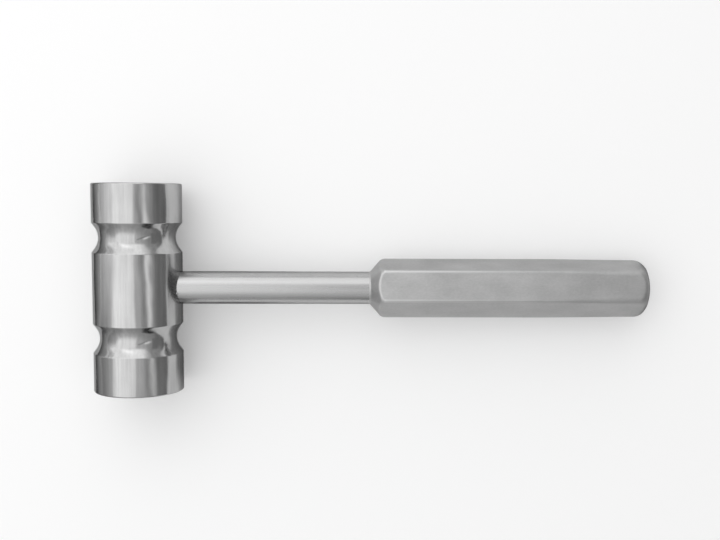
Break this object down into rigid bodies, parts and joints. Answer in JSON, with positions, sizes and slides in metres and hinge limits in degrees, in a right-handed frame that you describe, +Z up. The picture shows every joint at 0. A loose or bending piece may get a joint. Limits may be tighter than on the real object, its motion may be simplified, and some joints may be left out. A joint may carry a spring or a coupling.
{
  "type": "surgical hammer",
  "caption": "Surgical mallet with a grooved cylindrical head, a round shank and a hexagonal grip, for driving chisels and osteotomes.",
  "frame": {"origin": "middle of the overall box on the surface that the mallet lies on", "axes": "+X from the head towards the grip, with the shank dipping about 1.9 degrees as the mallet rests; +Y along the head's axis out of one striking face; +Z up, across the flat side of the mallet"},
  "size_m": [0.1899, 0.0702, 0.03],
  "materials": {
    "polished_steel": "hand polished, with faint lengthwise marks",
    "satin_steel": "satin, polished lengthwise",
    "blasted_steel": "bead blasted, matte"
  },
  "bodies": {
    "root": {"head": "polished_steel", "shank": "satin_steel", "grip": "blasted_steel"}
  },
  "joints": []
}
